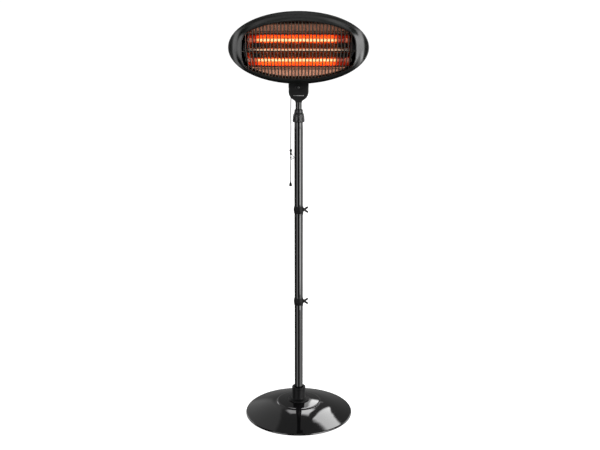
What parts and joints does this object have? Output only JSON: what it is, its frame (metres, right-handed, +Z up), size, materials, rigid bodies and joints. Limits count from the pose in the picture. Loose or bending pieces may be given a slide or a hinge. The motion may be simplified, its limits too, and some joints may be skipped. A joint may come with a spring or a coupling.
{
  "type": "patio heater",
  "caption": "Free-standing quartz patio heater: domed weighted base, telescoping black pole, tilting oval head with glowing lamps behind a wire guard, and a pull-cord switch.",
  "frame": {"origin": "on the floor, on the pole axis, at the centre of the base", "axes": "+Z up along the pole, -Y towards what the head faces, +X to the right of somebody who looks at the front of the head"},
  "size_m": [0.492, 0.416, 1.53],
  "materials": {
    "gloss_black": "gloss black enamel over steel, with soft long reflections",
    "head_grey": "satin charcoal powder coat",
    "head_black": "satin black powder coat",
    "guard_black": "heat-resistant black lacquer on welded wire",
    "black_plastic": "moulded black nylon with a fine grain",
    "neck_plastic": "moulded dark grey-black plastic with a fine spark texture",
    "rubber": "matt black rubber",
    "concrete": "cast concrete, fine grain",
    "zinc_steel": "zinc-plated steel",
    "brass": "machined brass",
    "nylon": "natural nylon, slightly translucent",
    "pale_metal": "satin aluminium, plain",
    "wire_sleeve": "glass-braid sleeved wire",
    "cord": "braided grey nylon cord",
    "cord_black": "gloss black moulded plastic",
    "bright_aluminium": "bright rolled reflector sheet, finely dimpled",
    "quartz": "clear fused quartz",
    "filament_cold": "oxidised resistance coil",
    "ceramic": "unglazed steatite",
    "dark_steel": "heat-blackened steel",
    "filament_hot": "resistance coil glowing orange"
  },
  "bodies": {
    "stand": {"rubber_feet": "rubber", "base_tray": "zinc_steel", "base_weight": "concrete", "base_cover": "gloss_black", "base_bolt": "zinc_steel", "base_washer": "zinc_steel", "pole_socket": "black_plastic", "pole_insert": "brass", "lower_tube": "gloss_black", "middle_tube": "gloss_black", "upper_tube": "gloss_black", "lower_clamp": "black_plastic", "upper_clamp": "black_plastic", "clamp_nuts": "brass", "guide_ferrule": "black_plastic", "grip_collet": "nylon"},
    "lower_wing": {"lower_wing_screw": "black_plastic"},
    "upper_wing": {"upper_wing_screw": "black_plastic"},
    "twist_lock": {"lock_collar": "black_plastic"},
    "mast": {"mast_tube": "gloss_black", "mast_stop_ring": "nylon", "neck_front": "neck_plastic", "neck_rear": "neck_plastic", "neck_screws": "zinc_steel", "recess_screw": "zinc_steel", "badge_bar": "pale_metal", "pivot_bush": "zinc_steel", "switch_body": "nylon", "cord_grommet": "rubber", "tip_over_switch": "black_plastic", "neck_wiring": "wire_sleeve"},
    "pull_switch": {"switch_lever": "nylon", "pull_cord_upper": "cord", "cord_connector": "cord_black", "pull_cord_lower": "cord", "cord_tail": "cord", "cord_knot": "cord", "pull_knob": "cord_black"},
    "head": {"tilt_yoke": "head_black", "yoke_screws": "zinc_steel", "tilt_bolt": "zinc_steel", "tilt_washers": "zinc_steel", "bezel": "head_grey", "bezel_clips": "zinc_steel", "back_shell": "head_black", "heat_shield": "zinc_steel", "reflector": "bright_aluminium", "reflector_ends": "bright_aluminium", "quartz_tubes": "quartz", "hot_filaments": "filament_hot", "cold_filament": "filament_cold", "lamp_caps": "ceramic", "lamp_supports": "dark_steel", "wire_guard": "guard_black", "terminal_block": "ceramic", "head_wiring": "wire_sleeve", "cord_gland": "black_plastic", "gland_nut": "black_plastic"},
    "tilt_grip": {"tilt_knob": "black_plastic"}
  },
  "joints": [
    {"name": "mast_height", "type": "slide", "parent": "stand", "child": "mast", "axis": [0, 0, 1], "range_m": [0, 0.4]},
    {"name": "head_tilt", "type": "hinge", "parent": "mast", "child": "head", "pos_m": [0, 0, 1.292], "axis": [1, 0, 0], "range_deg": [-10, 40]},
    {"name": "tilt_knob_turn", "type": "hinge", "parent": "head", "child": "tilt_grip", "pos_m": [0.04, 0, 1.292], "axis": [1, 0, 0], "range_deg": [0, 360]},
    {"name": "twist_lock_turn", "type": "hinge", "parent": "stand", "child": "twist_lock", "pos_m": [0, 0, 1.16], "axis": [0, 0, 1], "range_deg": [0, 180]},
    {"name": "lower_wing_turn", "type": "hinge", "parent": "stand", "child": "lower_wing", "pos_m": [0.025, 0, 0.458], "axis": [1, 0, 0], "range_deg": [0, 360]},
    {"name": "upper_wing_turn", "type": "hinge", "parent": "stand", "child": "upper_wing", "pos_m": [0.025, 0, 0.816], "axis": [1, 0, 0], "range_deg": [0, 360]},
    {"name": "cord_pull", "type": "slide", "parent": "mast", "child": "pull_switch", "axis": [0, 0, -1], "range_m": [0, 0.009], "stiffness_N_per_m": 1000, "springref_m": -0.001}
  ]
}
